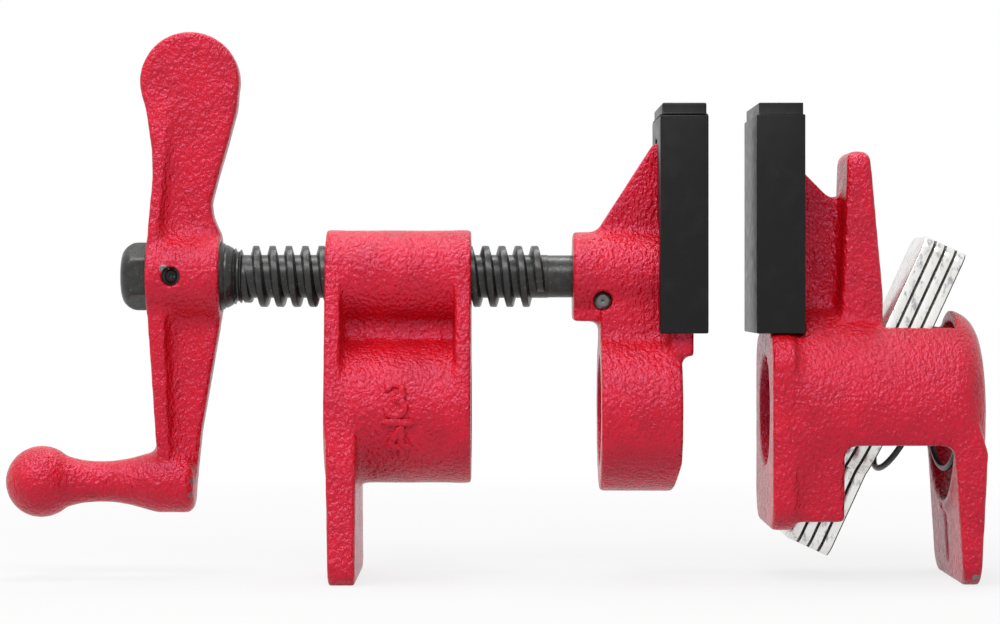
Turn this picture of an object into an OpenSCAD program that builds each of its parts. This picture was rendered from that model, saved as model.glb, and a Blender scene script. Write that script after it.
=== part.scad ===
// Woodworking pipe clamp fixture for 3/4 inch nominal pipe, without its pipe.
// Millimetres. +X runs along the pipe from the head to the tail, +Z is up.
// The origin lies on the pipe axis at the mouth of the head's threaded socket.

/* [Pipe] */
// outside diameter of the pipe that the fixture is made for
pipe_od = 26.67; // [26:0.01:27.4]
// radial room between the pipe and the cast bores
pipe_room = 0.765; // [0.5:0.005:1]
// radial room between the pipe and the holes of the clutch plates
plate_room = 0.565; // [0.4:0.005:0.7]
// wall radius of the tapped socket, taken as the thread's minor radius
socket_r = 12.05; // [11.6:0.05:12.4]

/* [Screw] */
// height of the screw above the pipe axis
screw_z = 34.5; // [33.5:0.1:37]
// major diameter of the screw thread
screw_d = 15.875; // [15:0.125:16.5]
// lead of the single-start screw thread
screw_pitch = 4.2333; // [4:0.0001:4.5]
// gap between the flanks of the screw and of the tapped boss, along the axis
flank_gap = 0.1; // [0.08:0.01:0.12]
// radius of the plain neck that turns in the sliding jaw
neck_r = 5.45; // [5:0.05:5.5]
// bare neck between the thread's end and the jaw
neck_show = 6.3; // [5:0.1:8]
// distance from the crank to the head casting
crank_gap = 27.1; // [26:0.1:32]
// width across flats of the hexagon end
hex_af = 15.4; // [14:0.1:15.8]
// length of the hexagon end
hex_len = 6.8; // [5:0.1:8]

/* [Head casting] */
// length of the head along the pipe
head_len = 37.4; // [34:0.1:42]
// radius of the screw boss flange
boss_r = 12; // [11.5:0.1:13]
// radius of the socket barrel flange
barrel_r = 18.9; // [18:0.1:20]
// thickness of the two end flanges
flange_t = 4.1; // [3:0.1:5.5]
// thickness of the web between boss and barrel
web_t = 9; // [7:0.1:12]
// height of the pipe axis above the bench
axis_h = 43.2; // [41:0.1:46]
// half width of both feet
foot_hw = 25; // [23:0.1:27]
// thickness of the head's foot plate
foot_t = 6.9; // [6:0.1:9]
// how far the foot plate stands back at the bench
foot_set = 1.5; // [0.5:0.1:3]

/* [Crank] */
// length of the crank hub
hub_len = 18.9; // [17:0.1:21]
// radius of the crank hub
hub_r = 11.2; // [10.8:0.1:12.5]
// radius of the screw's journal in the crank hub
journal_r = 8.85; // [8.6:0.05:9]
// height of the paddle's centre above the screw
paddle_z = 50.2; // [47:0.1:54]
// radius of the paddle
paddle_r = 12.9; // [12:0.1:14]
// thickness of the paddle
paddle_t = 7; // [5:0.1:8]
// drop from the screw to the grip's axis
grip_drop = 53; // [50:0.1:56]
// length of the grip from the crank arm to the ball's centre
grip_len = 37.1; // [34:0.1:42]
// radius of the ball at the grip's end
ball_r = 9.3; // [8:0.1:10.5]

/* [Pins] */
// diameter of both pins
pin_d = 4.8; // [4.4:0.1:5]

/* [Sliding jaw] */
// gap between the head casting and the jaw's boss
jaw_gap = 26.1; // [25.5:0.1:32]
// boss length ahead of the ring
boss_lead = 6.9; // [6.5:0.1:9]
// radius of the jaw's screw boss
jaw_boss_r = 11.5; // [11:0.1:12]
// length of the ring on the pipe
ring_len = 20.6; // [19:0.1:24]
// outer radius of the ring
ring_r = 20.9; // [20:0.1:22]
// thickness of both jaw plates
jaw_t = 6; // [5:0.1:7]
// half width of both jaw plates
jaw_hw = 16.5; // [15:0.1:18]

/* [Pads] */
// height of both pads' lower edge above the pipe axis
pad_z = 20; // [19:0.1:22]
// height of the pads
pad_h = 58.3; // [56:0.1:62]
// wall of the pads ahead of the jaw plate
pad_wall = 3.5; // [2.5:0.1:5]
// thickness of the lips behind the jaw plate
pad_lip = 2.6; // [2:0.1:2.8]
// thickness of the side walls
pad_side = 2.45; // [2:0.05:3]
// gap between the two pads' faces
pad_gap = 12.2; // [12.2:0.1:16]

/* [Tail casting] */
// length of the tail from the jaw plate's face
tail_len = 54.25; // [54:0.05:58]
// outer radius of the hood
hood_r = 26; // [25.6:0.1:27]
// wall thickness of the hood
hood_wall = 3; // [2.6:0.1:3.2]
// height of the finger post's top above the pipe axis
post_z = 66.5; // [62:0.1:70]
// half width of the finger post
post_hw = 12; // [11:0.1:13]

/* [Clutch] */
// thickness of a clutch plate
plate_t = 2.75; // [2.5:0.05:2.8]
// lean of the plates without a pipe
clutch_tilt = 24.72; // [20:0.01:24.8]
// half width of the plates' tabs
tab_hw = 12.5; // [11:0.1:12.6]
// radius of the plates around the hole
plate_r = 19.3; // [18.5:0.1:19.6]
// plate length above the fulcrum
plate_up = 26.2; // [24:0.1:28]
// plate length below the fulcrum
plate_down = 58.5; // [56:0.1:58.6]

/* [Spring] */
// radius of the spring's wire
wire_r = 0.8; // [0.6:0.05:0.9]
// radius from the pipe axis to the middle of the wire
coil_r = 15; // [14.8:0.1:16]
// number of loops
coil_loops = 2; // [2:1:3]

/* [Part shown] */
// which sub-part to build

/* [Hidden] */
$fn = 64;
past = 2;          // how far a cut runs past a face
bite = 0.5;        // how far joined solids reach into each other
graze = 0.02;      // keeps a tangent bar's edges crossing its circles
fit = 0.05;        // clearance of a close fit
red = [0.78, 0.09, 0.17];
black = [0.08, 0.08, 0.09];
steel = [0.75, 0.76, 0.78];

// pipe
pipe_r = pipe_od / 2;
cast_bore_r = pipe_r + pipe_room;
plate_bore_r = pipe_r + plate_room;

// screw thread: general purpose 29 degree form with its standard allowances
flank = tan(14.5);
screw_r = screw_d / 2;
crest_w = 0.3707 * screw_pitch;
allow = 0.254;                                  // radial, at crest and at root
root_r = screw_r - screw_pitch / 2 - allow;
root_w = crest_w + 2 * (screw_r - root_r) * flank;
nut_minor_r = root_r + allow;
nut_major_r = screw_r + allow;
nut_root_w = root_w - 2 * allow * flank + 2 * flank_gap;
nut_crest_w = crest_w - 2 * allow * flank + 2 * flank_gap;
STEPS = 20;                                     // facets a turn
start_angle = 126;
pin_r = pin_d / 2;

// stations along X
head_x0 = -head_len;
hub_x1 = head_x0 - crank_gap;
hub_x0 = hub_x1 - hub_len;
hub_mid = (hub_x0 + hub_x1) / 2;
collar_in = 0.3;
collar_x1 = hub_x1 + 3.3;
helix_x0 = collar_x1 + 1.75;                    // middle of the first crest
jaw_x0 = jaw_gap;
thread_x1 = jaw_x0 - neck_show;
helix_steps = floor((thread_x1 - root_w / 2 - 0.3 - helix_x0) / screw_pitch * STEPS);
ring_x0 = jaw_x0 + boss_lead;
ring_x1 = ring_x0 + ring_len;
front_plate_x0 = ring_x1 - 3.15;
front_plate_x1 = front_plate_x0 + jaw_t;
front_pad_x1 = front_plate_x1 + fit + pad_wall;
rear_pad_x0 = front_pad_x1 + pad_gap;
tail_x0 = rear_pad_x0 + pad_wall + fit;
tail_plate_x1 = tail_x0 + jaw_t;
wall_x1 = tail_plate_x1 + pad_lip + 3 * fit;    // back of the tail's front wall
tail_x1 = tail_x0 + tail_len;
pad_mirror_x = (front_pad_x1 + rear_pad_x0) / 2;

// retaining pin: a chord across the neck's groove
groove_r = neck_r - 1.7;
groove_x = jaw_x0 + 7.6;
groove_w = pin_d + 2 * fit;
jaw_pin_z = screw_z - groove_r - pin_r;
neck_x1 = jaw_x0 + 17.9;

// pads and jaw plates
pad_top_wall = 3;
pad_hw = jaw_hw + fit + pad_side;
jaw_top_z = pad_z + pad_h - pad_top_wall - 2 * fit;
jaw_low_z = pad_z - 5.8;
gusset_top = 49.2;                              // above the pads' lower edge

// hood, fulcrum and foot of the tail
hood_in_r = hood_r - hood_wall;
ful_x = tail_x0 + 29.25;
ful_z = hood_in_r - 2;
lip_z = -29.7;
lip_way = 0.42;                                 // what the leaning plates stop short of the lip
lip_x1 = ful_x - (ful_z - lip_z) * tan(clutch_tilt) - lip_way;
skirt_z = -27.4;
skirt_hw = 22.5;
window_x0 = tail_x0 + 18.25;
rear_t = 8.7;
window_x1 = tail_x1 - rear_t;
window_z = -8.1;
window_round = 2.8;
cup_floor = 4;
cup_x1 = tail_x1 - cup_floor;
slot_hw = tab_hw + 1.5;
slot_x1 = ful_x + 18.3;
wall_top_z = pad_z - 0.3;

// clutch
plate_step = plate_t + 2 * fit;
stack_t = 4 * plate_step;
plate_corner = 3;

// ---- helpers -------------------------------------------------------------

module along_x(x0, x1) translate([x0, 0, 0]) rotate([90, 0, 90]) linear_extrude(x1 - x0) children();
module across_y(y0, y1) translate([0, y1, 0]) rotate([90, 0, 0]) linear_extrude(y1 - y0) children();
module xrod(x0, x1, r, z = 0)
    translate([x0, 0, z]) rotate([0, 90, 0]) cylinder(h = x1 - x0, r = r);
module xcone(x0, x1, r0, r1, z = 0)
    translate([x0, 0, z]) rotate([0, 90, 0]) cylinder(h = x1 - x0, r1 = r0, r2 = r1);
module yrod(x, z, half, r) translate([x, half, z]) rotate([90, 0, 0]) cylinder(h = 2 * half, r = r);
module box(x0, x1, hw, z0, z1) translate([x0, -hw, z0]) cube([x1 - x0, 2 * hw, z1 - z0]);

// two circles one above the other with the straight sides that touch both
module tangent_pair(za, ra, zb, rb) {
    up = (rb - ra) / (za - zb);
    out = sqrt(1 - up * up);
    a = ra - graze;
    b = rb - graze;
    translate([0, za]) circle(ra);
    translate([0, zb]) circle(rb);
    polygon([[out * a, za + up * a], [out * b, zb + up * b],
             [-out * b, zb + up * b], [-out * a, za + up * a]]);
}

// rectangle with rounded corners, from circles and squares
module round_rect(x0, x1, y0, y1, r) {
    translate([x0 + r, y0]) square([x1 - x0 - 2 * r, y1 - y0]);
    translate([x0, y0 + r]) square([x1 - x0, y1 - y0 - 2 * r]);
    for (x = [x0 + r, x1 - r], y = [y0 + r, y1 - r]) translate([x, y]) circle(r);
}

// ---- helical forms -------------------------------------------------------

// a threaded bar: one helical ridge on a core, with flat ends at bar_x0 and bar_x1
module thread_bar(bar_x0, bar_x1, x_first, a_first, steps, r_in, r_out, w_in, w_out) {
    n = STEPS;
    function at(i, x, r) = [x, r * cos(a_first + 360 * i / n), r * sin(a_first + 360 * i / n)];
    function mid(i) = x_first + screw_pitch * i / n;
    ridge = [for (i = [0:steps]) for (p = [[-w_in, r_in], [-w_out, r_out], [w_out, r_out], [w_in, r_in]])
             at(i, mid(i) + p[0] / 2, p[1])];
    left = [for (i = [0:n - 1]) at(i, bar_x0, r_in)];
    right = [for (i = [0:n - 1]) at(i, bar_x1, r_in)];
    L = 4 * (steps + 1);
    R = L + n;
    function P(i, j) = 4 * i + j;
    function l(i) = L + i % n;
    function r(i) = R + i % n;
    function quad(a, b, c, d) = [[a, b, c], [a, c, d]];
    s = steps;
    faces = concat(
        [for (i = [0:s - 1], j = [0:2]) each quad(P(i, j), P(i, j + 1), P(i + 1, j + 1), P(i + 1, j))],
        [for (i = [0:s - n - 1]) each quad(P(i, 3), P(i + n, 0), P(i + n + 1, 0), P(i + 1, 3))],
        [for (i = [0:n - 2]) each quad(l(i), P(i, 0), P(i + 1, 0), l(i + 1))],
        [for (i = [s - n + 1:s - 1]) each quad(P(i, 3), r(i), r(i + 1), P(i + 1, 3))],
        [[l(n - 1), P(n - 1, 0), P(n, 0)], [l(n - 1), P(n, 0), P(0, 3)],
         [l(n - 1), P(0, 3), P(0, 0)], [l(n - 1), P(0, 0), l(0)]],
        [[r(s + 1), P(s - n + 1, 3), P(s - n, 3)], [r(s + 1), P(s - n, 3), P(s, 0)],
         [r(s + 1), P(s, 0), P(s, 3)], [r(s + 1), P(s, 3), r(s)]],
        [[P(0, 3), P(0, 2), P(0, 1)], [P(0, 3), P(0, 1), P(0, 0)],
         [P(s, 0), P(s, 1), P(s, 2)], [P(s, 0), P(s, 2), P(s, 3)]],
        [for (i = [1:n - 2]) [l(0), l(i), l(i + 1)]],
        [for (i = [1:n - 2]) [r(0), r(i + 1), r(i)]]);
    polyhedron(points = concat(ridge, left, right), faces = faces);
}

// the cutter that taps the head's boss, in step with the screw
module nut_cutter() {
    i0 = floor((head_x0 - helix_x0) / screw_pitch * STEPS) - STEPS;
    i1 = ceil(-helix_x0 / screw_pitch * STEPS) + STEPS;
    translate([0, 0, screw_z])
        thread_bar(head_x0 - 2 * screw_pitch, 2 * screw_pitch, helix_x0 + screw_pitch * i0 / STEPS,
                   start_angle + 360 * i0 / STEPS, i1 - i0,
                   nut_minor_r, nut_major_r, nut_root_w, nut_crest_w);
}

// clutch spring: the wire follows the leaning plates on one side, the cup on the other
SIDES = 6;
RINGS = 24;
coil_ease = 0.8;                                // how close both end loops lie to what they press on
back_off = (fit + stack_t) / cos(clutch_tilt) + (wire_r + 0.25) / cos(clutch_tilt);
function coil_x_plate(z) = ful_x + (z - ful_z) * tan(clutch_tilt) + back_off;
coil_x_cup = cup_x1 - wire_r - 0.25;
coil_n = RINGS * coil_loops;
function coil_mid(k) =
    let (u = k / coil_n, s = u - coil_ease * sin(360 * u) / (2 * PI), a = 90 + 360 * k / RINGS,
         z = coil_r * sin(a))
    [coil_x_plate(z) * (1 - s) + coil_x_cup * s, -coil_r * cos(a), z];
function unit(v) = v / norm(v);
function coil_dir(k) = unit(coil_mid(k + 0.5) - coil_mid(k - 0.5));
// the ends run straight for one wire diameter
coil_path = concat([coil_mid(0) - 2 * wire_r * coil_dir(0)],
                   [for (k = [0:coil_n]) coil_mid(k)],
                   [coil_mid(coil_n) + 2 * wire_r * coil_dir(coil_n)]);
coil_aim = concat([coil_dir(0)], [for (k = [0:coil_n]) coil_dir(k)], [coil_dir(coil_n)]);
coil_last = len(coil_path) - 1;

module spring_tube() {
    function side(k) = unit(cross(coil_aim[k], [1, 0, 0]));
    function ring(k) =
        let (a = side(k), b = cross(coil_aim[k], a))
        [for (j = [0:SIDES - 1], t = 360 * j / SIDES) coil_path[k] + wire_r * (cos(t) * a + sin(t) * b)];
    function p(k, j) = SIDES * k + j % SIDES;
    polyhedron(
        points = [for (k = [0:coil_last]) each ring(k)],
        faces = concat(
            [for (k = [0:coil_last - 1], j = [0:SIDES - 1])
                each [[p(k, j), p(k + 1, j), p(k + 1, j + 1)], [p(k, j), p(k + 1, j + 1), p(k, j + 1)]]],
            [for (j = [1:SIDES - 2]) [p(0, 0), p(0, j), p(0, j + 1)]],
            [for (j = [1:SIDES - 2]) [p(coil_last, 0), p(coil_last, j + 1), p(coil_last, j)]]));
}
coil_gaps = [for (a = [0:coil_last], b = [0:coil_last])
             if (b - a > RINGS / 2) norm(coil_path[a] - coil_path[b]) - 2 * wire_r];
echo(clutch_spring_least_gap_mm = min(coil_gaps));

// ---- head ----------------------------------------------------------------

module head_casting() color(red) {
    proud = 0.1;
    chamfer = 0.675;
    spot = 1.4;
    foot_top_z = 3;
    foot_wide_z = -axis_h + 5.7;
    corner = 2;
    difference() {
        union() {
            xrod(head_x0 + bite, -bite, barrel_r - proud);
            xrod(head_x0 + bite, -bite, boss_r - proud, screw_z);
            for (x = [head_x0, -flange_t])
                along_x(x, x + flange_t) tangent_pair(screw_z, boss_r, 0, barrel_r);
            box(head_x0 + bite, -bite, web_t / 2, socket_r + bite, screw_z - nut_major_r - bite);
            intersection() {
                across_y(-foot_hw, foot_hw) polygon([
                    [head_x0 + 0.3, foot_top_z + 1], [head_x0 + foot_set, -axis_h],
                    [head_x0 + foot_set + foot_t, -axis_h], [head_x0 + foot_set + foot_t, foot_top_z + 1]]);
                along_x(head_x0, 0) polygon([
                    [-barrel_r + 0.4, foot_top_z], [-foot_hw, foot_wide_z], [-foot_hw, -axis_h + corner],
                    [-foot_hw + corner, -axis_h], [foot_hw - corner, -axis_h],
                    [foot_hw, -axis_h + corner], [foot_hw, foot_wide_z], [barrel_r - 0.4, foot_top_z]]);
            }
        }
        xrod(head_x0 - past, past, socket_r);
        xcone(head_x0 - past, head_x0 + chamfer, socket_r + chamfer + past, socket_r);
        nut_cutter();
        xrod(-spot, past + bite, nut_major_r + 0.3, screw_z);
        xrod(head_x0 - past - bite, head_x0 + spot, nut_major_r + 0.3, screw_z);
    }
}

// ---- screw, crank and their pin -------------------------------------------

crank_pin_x = hub_x0 + 6.7;

module spindle() color(black) {
    hex_x0 = hub_x0 - hex_len;
    hex_r = hex_af / 2 / cos(30);
    turned_r = hex_af / 2 - 0.2;
    turned_slope = 1.5;
    difference() {
        union() {
            intersection() {
                translate([hex_x0, 0, screw_z]) rotate([0, 90, 0])
                    cylinder(h = hex_len - fit, r = hex_r, $fn = 6);
                xcone(hex_x0, hub_x0 + past, turned_r, turned_r + (hex_len + past) * turned_slope, screw_z);
            }
            xrod(hub_x0 - bite, hub_x1 + collar_in, journal_r, screw_z);
            xcone(hub_x1 + collar_in, collar_x1, journal_r, screw_r, screw_z);
            translate([0, 0, screw_z])
                thread_bar(collar_x1 - 1, thread_x1, helix_x0, start_angle, helix_steps,
                           root_r, screw_r, root_w, crest_w);
            xrod(thread_x1 - bite, neck_x1, neck_r, screw_z);
        }
        yrod(crank_pin_x, screw_z, journal_r + past, pin_r + fit / 2);
        difference() {
            xrod(groove_x - groove_w / 2, groove_x + groove_w / 2, neck_r + past, screw_z);
            xrod(groove_x - groove_w, groove_x + groove_w, groove_r, screw_z);
        }
    }
}

// a turned pin lying along Y, with chamfered ends and a centre mark in each
module turned_pin(x, z, half) {
    chamfer = 0.9;
    mark = 0.5;
    translate([x, 0, z]) rotate([90, 0, 0]) rotate_extrude() polygon([
        [0, mark - half], [mark, -half], [pin_r - chamfer, -half], [pin_r, chamfer - half],
        [pin_r, half - chamfer], [pin_r - chamfer, half], [mark, half], [0, half - mark]]);
}
module crank_pin() color(black) turned_pin(crank_pin_x, screw_z, hub_r - 2.2);

// one edge point of an arm: sideways from the hub's middle, up as a share of the paddle's or grip's reach
function upper(x, share) = [x, share * paddle_z];
function lower(x, share) = [x, -share * grip_drop];

module crank_handle() color(red) {
    paddle_x = 1.35;
    hub_half = hub_len / 2;
    k = paddle_r / 12.9;
    arm_top_l = [paddle_x - 0.973 * paddle_r, paddle_z - 0.225 * paddle_r];
    arm_top_r = [paddle_x + 0.976 * paddle_r, paddle_z - 0.209 * paddle_r];
    upper_left = [[-hub_half + 0.4, 5], upper(-hub_half + 0.4, 0.233), upper(-7.95 * k, 0.504),
                  upper(-8.25 * k, 0.645), upper(-9.85 * k, 0.853), arm_top_l];
    upper_right = [arm_top_r, upper(13.6 * k, 0.86), upper(11.95 * k, 0.733), upper(8.65 * k, 0.504),
                   upper(6.95 * k, 0.376), upper(7.25 * k, 0.311), upper(hub_half - 0.3, 0.223),
                   [hub_half - 0.3, 5]];
    upper_crease = [upper(-2.85 * k, 0.906), upper(-6.35 * k, 0.15), [-6.35 * k, 5]];
    lower_left = [[-hub_half + 0.3, -5], lower(-hub_half + 0.3, 0.174), lower(-6.35, 1),
                  lower(-5.2, 1.09)];
    lower_right = [lower(-0.5, 1.13), lower(2.6, 1.08), lower(4.35, 0.76),
                   lower(hub_half - 0.3, 0.234), [hub_half - 0.3, -5]];
    lower_crease = [lower(-2.95, 1), lower(-4.45, 0.226), [-4.45, -5]];
    neck_grip_r = 5.25;
    grip_boss_r = 8;
    ball_x = -grip_len;
    boss_end = 2.65;
    grip = [for (a = [180:-15:45]) [ball_r * sin(a), ball_x + ball_r * cos(a)]];
    shank = [[neck_grip_r + 0.35, -0.717 * grip_len], [neck_grip_r, -0.623 * grip_len],
             [neck_grip_r + 0.1, -0.501 * grip_len], [neck_grip_r + 0.85, -0.38 * grip_len],
             [neck_grip_r + 1.95, -0.272 * grip_len], [grip_boss_r, -0.19 * grip_len],
             [grip_boss_r, boss_end - 1.5], [grip_boss_r - 1.5, boss_end], [0, boss_end]];
    difference() {
        union() {
            xrod(hub_x0, hub_x1, hub_r, screw_z);
            translate([hub_mid, 0, screw_z]) {
                across_y(-paddle_t / 2, paddle_t / 2) translate([paddle_x, paddle_z]) circle(paddle_r);
                across_y(-paddle_t / 2, paddle_t / 2) polygon(concat(upper_left, upper_right));
                intersection() {
                    across_y(-hub_r, hub_r) polygon(concat(upper_left, upper_crease));
                    along_x(-hub_len, hub_len) polygon([
                        [8.2, 4], upper(7.6, 0.25), upper(5.6, 0.6), upper(3.2, 1), upper(-3.2, 1),
                        upper(-5.6, 0.6), upper(-7.6, 0.25), [-8.2, 4]]);
                }
                across_y(-paddle_t / 2, paddle_t / 2) polygon(concat(lower_left, lower_right));
                intersection() {
                    across_y(-hub_r, hub_r) polygon(concat(lower_left, lower_crease));
                    along_x(-hub_len, hub_len) polygon([
                        [8.2, -4], lower(7.6, 0.25), lower(6, 1.1), lower(-6, 1.1),
                        lower(-7.6, 0.25), [-8.2, -4]]);
                }
                translate([0, 0, -grip_drop]) rotate([0, 90, 0])
                    rotate_extrude() polygon(concat(grip, shank));
            }
        }
        xrod(hub_x0 - past, hub_x1 + past, journal_r + fit, screw_z);
        yrod(crank_pin_x, screw_z, hub_r + past, pin_r + fit / 2);
    }
}

// ---- sliding jaw -----------------------------------------------------------

module sliding_jaw() color(red) {
    join_hw = 10;
    foot_flat_hw = 8;
    gusset_t = 6;
    end_cut = [1.8, 8.5];
    gusset_lead = 4;
    gusset_run = 3.6;
    gusset_fall = 0.6;
    difference() {
        union() {
            xrod(ring_x0, ring_x1, ring_r);
            xrod(jaw_x0, front_plate_x0 + bite, jaw_boss_r, screw_z);
            box(jaw_x0, front_plate_x0 + bite, foot_flat_hw, screw_z - jaw_boss_r - fit, screw_z);
            box(ring_x0, front_plate_x0 + bite, join_hw, cast_bore_r - bite, screw_z);
            box(front_plate_x0, front_plate_x1, jaw_hw, jaw_low_z, jaw_top_z);
            across_y(-gusset_t / 2, gusset_t / 2) polygon([
                [jaw_x0 + gusset_lead, screw_z],
                [jaw_x0 + gusset_lead + bite, screw_z + jaw_boss_r - bite],
                [jaw_x0 + gusset_lead + 5 * bite, screw_z + jaw_boss_r + bite],
                [front_plate_x0 - gusset_run, pad_z + gusset_top - gusset_fall],
                [front_plate_x0 + bite, pad_z + gusset_top], [front_plate_x0 + bite, screw_z]]);
        }
        xrod(ring_x0 - past, front_plate_x1 + past, cast_bore_r);
        xrod(jaw_x0 - past, neck_x1 + 2 * fit, neck_r + fit, screw_z);
        yrod(groove_x, jaw_pin_z - fit, jaw_boss_r + past, pin_r + fit / 2);
        across_y(-ring_r, ring_r) polygon([
            [ring_x1 - end_cut[0], -ring_r - past], [ring_x1 - end_cut[0], -ring_r - 0.1],
            [ring_x1 + 0.1, -ring_r + end_cut[1]], [ring_x1 + past, -ring_r - past]]);
    }
}

module jaw_retaining_pin() color(black)
    turned_pin(groove_x, jaw_pin_z - fit, sqrt(pow(jaw_boss_r, 2) - pow(groove_r + pin_r, 2)) - 0.6);

// ---- pads ------------------------------------------------------------------

module jaw_pad() color(black) {
    back_x = front_plate_x0 - fit - pad_lip;
    rim = 0.5;
    top_z = pad_z + pad_h;
    narrow_hw = 4.5;
    boss_way = jaw_boss_r + 0.7;
    over_boss = 3;
    difference() {
        union() {
            box(back_x, front_pad_x1, pad_hw, pad_z, top_z - pad_top_wall);
            box(back_x + rim, front_pad_x1 - rim, pad_hw - rim, pad_z + bite, top_z);
        }
        box(front_plate_x0 - fit, front_plate_x1 + fit, jaw_hw + fit, pad_z - past, jaw_top_z + fit);
        box(back_x - past, front_plate_x1, boss_way, pad_z - past, screw_z + jaw_boss_r + over_boss);
        box(back_x - past, front_plate_x1, narrow_hw, pad_z, pad_z + gusset_top + 0.8);
    }
}
module front_jaw_pad() jaw_pad();
module rear_jaw_pad() translate([2 * pad_mirror_x, 0, 0]) mirror([1, 0, 0]) jaw_pad();

// ---- tail ------------------------------------------------------------------

module hood_shell() {
    rear_round = 8;
    corner = 8;
    step_z = -16;
    top_hw = foot_hw - 0.4;
    in_hw = skirt_hw - hood_wall;
    cup_taper = 2.5;
    function inner_hw(z) = hood_in_r - graze + (in_hw - hood_in_r) * z / (skirt_z - past);
    difference() {
        union() {
            difference() {
                union() {
                    translate([wall_x1, 0, 0]) rotate([0, 90, 0]) rotate_extrude() {
                        l = tail_x1 - wall_x1;
                        square([hood_r, l - rear_round]);
                        square([hood_r - rear_round, l]);
                        translate([hood_r - rear_round, l - rear_round]) circle(rear_round + graze / 2);
                    }
                    along_x(lip_x1 - bite, window_x0 + bite) polygon([
                        [-top_hw, 0], [-skirt_hw, skirt_z], [skirt_hw, skirt_z], [top_hw, 0]]);
                }
                across_y(-hood_r - past, hood_r + past)
                    round_rect(window_x0, window_x1, -2 * hood_r, window_z, window_round);
            }
            along_x(tail_x0, max(wall_x1 + bite, lip_x1))
                round_rect(-foot_hw, foot_hw, lip_z, wall_top_z, corner);
            intersection() {
                across_y(-foot_hw, foot_hw) polygon([
                    [window_x1, 3], [window_x1, window_z], [window_x1 + 2.2, -axis_h],
                    [tail_x1 - 2, -axis_h], [tail_x1 - 0.3, -10], [tail_x1 - 2.5, -3], [tail_x1 - 7, 3]]);
                along_x(window_x1 - past, tail_x1 + past) round_rect(-foot_hw, foot_hw, -axis_h, 10, 5);
            }
            box(tail_x0, tail_plate_x1, jaw_hw, jaw_low_z, jaw_top_z);
        }
        xrod(wall_x1, cup_x1 - cup_taper, hood_in_r);
        xcone(cup_x1 - cup_taper - graze, cup_x1, hood_in_r, hood_in_r - cup_taper);
        along_x(wall_x1, window_x1 - graze) polygon([
            [-hood_in_r + graze, 0], [-in_hw, skirt_z - past], [-in_hw, -2 * hood_r], [in_hw, -2 * hood_r],
            [in_hw, skirt_z - past], [hood_in_r - graze, 0]]);
        along_x(lip_x1, wall_x1 + bite) polygon([
            [-inner_hw(step_z), step_z], [-in_hw, skirt_z - past], [-in_hw, -2 * hood_r],
            [in_hw, -2 * hood_r], [in_hw, skirt_z - past], [inner_hw(step_z), step_z]]);
    }
}

module tail_casting() color(red) {
    web_half = 3;
    groove_hw = 1.65;
    groove_deep = 1.2;
    groove_z = [-axis_h + 4.2, skirt_z + 3];
    relief = tab_hw + 0.9;
    difference() {
        union() {
            hood_shell();
            // finger post over the flat ledge that the plates lean on
            intersection() {
                across_y(-post_hw, post_hw) polygon([
                    [ful_x, ful_z - 1], [ful_x, ful_z + 9], [ful_x - 3.2, post_z - 1.5],
                    [ful_x - 4.4, post_z], [ful_x - 7.9, post_z], [ful_x - 9.1, post_z - 1.5],
                    [ful_x - 10.9, ful_z - 1]]);
                along_x(ful_x - 12, ful_x + past) round_rect(-post_hw, post_hw, 0, post_z, 4);
            }
            across_y(-web_half, web_half) polygon([
                [tail_plate_x1 - bite, hood_r - 2], [tail_plate_x1 - bite, post_z - 0.8],
                [tail_x0 + 11.05, post_z - 6.2], [tail_x0 + 15.95, post_z - 11.2],
                [tail_x0 + 17.75, post_z - 11.8], [tail_x0 + 19.45, post_z - 11.2],
                [tail_x0 + 20.6, post_z - 7.8], [ful_x - 7, post_z - 7.8], [ful_x - 7, hood_r - 2]]);
        }
        xrod(tail_x0 - past, wall_x1 + past, cast_bore_r);
        xrod(cup_x1 - past, tail_x1 + past, cast_bore_r);
        box(ful_x, slot_x1, slot_hw, ful_z / 2, hood_r + past);
        box(ful_x - 4.5, ful_x + past, relief, ful_z / 2, ful_z);
        // sink groove down the inside of the foot
        across_y(-groove_hw, groove_hw) polygon([
            [window_x1 - past, groove_z[1]], [window_x1 + 1 + groove_deep, groove_z[1]],
            [window_x1 + 1.93 + groove_deep, groove_z[0]], [window_x1 - past, groove_z[0]]]);
    }
}

// ---- clutch ----------------------------------------------------------------

// plate n of the stack, the first one against the fulcrum
module clutch_plate(n) color(steel)
    translate([ful_x, 0, ful_z]) rotate([0, clutch_tilt, 0])
        translate([fit + (n - 1) * plate_step, 0, -ful_z]) along_x(0, plate_t) difference() {
            union() {
                circle(plate_r);
                round_rect(-tab_hw, tab_hw, ful_z - plate_down, ful_z + plate_up, plate_corner);
            }
            circle(plate_bore_r);
        }
module clutch_plate_1() clutch_plate(1);
module clutch_plate_2() clutch_plate(2);
module clutch_plate_3() clutch_plate(3);
module clutch_plate_4() clutch_plate(4);
module clutch_spring() color(black) spring_tube();

head_casting();
spindle();
crank_handle();
crank_pin();
sliding_jaw();
jaw_retaining_pin();
front_jaw_pad();
tail_casting();
clutch_plate_1();
clutch_plate_2();
clutch_plate_3();
clutch_plate_4();
clutch_spring();
rear_jaw_pad();
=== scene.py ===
"""Looks of a pipe clamp fixture for 3/4 inch pipe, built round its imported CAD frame.

Lengths in this script are millimetres in the frame's axes: +X along the pipe from the
head to the tail, +Z up, -Y toward the camera. mm() turns them into Blender's metres.
"""
import math

import bmesh
import bpy
import numpy as np
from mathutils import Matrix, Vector, noise


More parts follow.
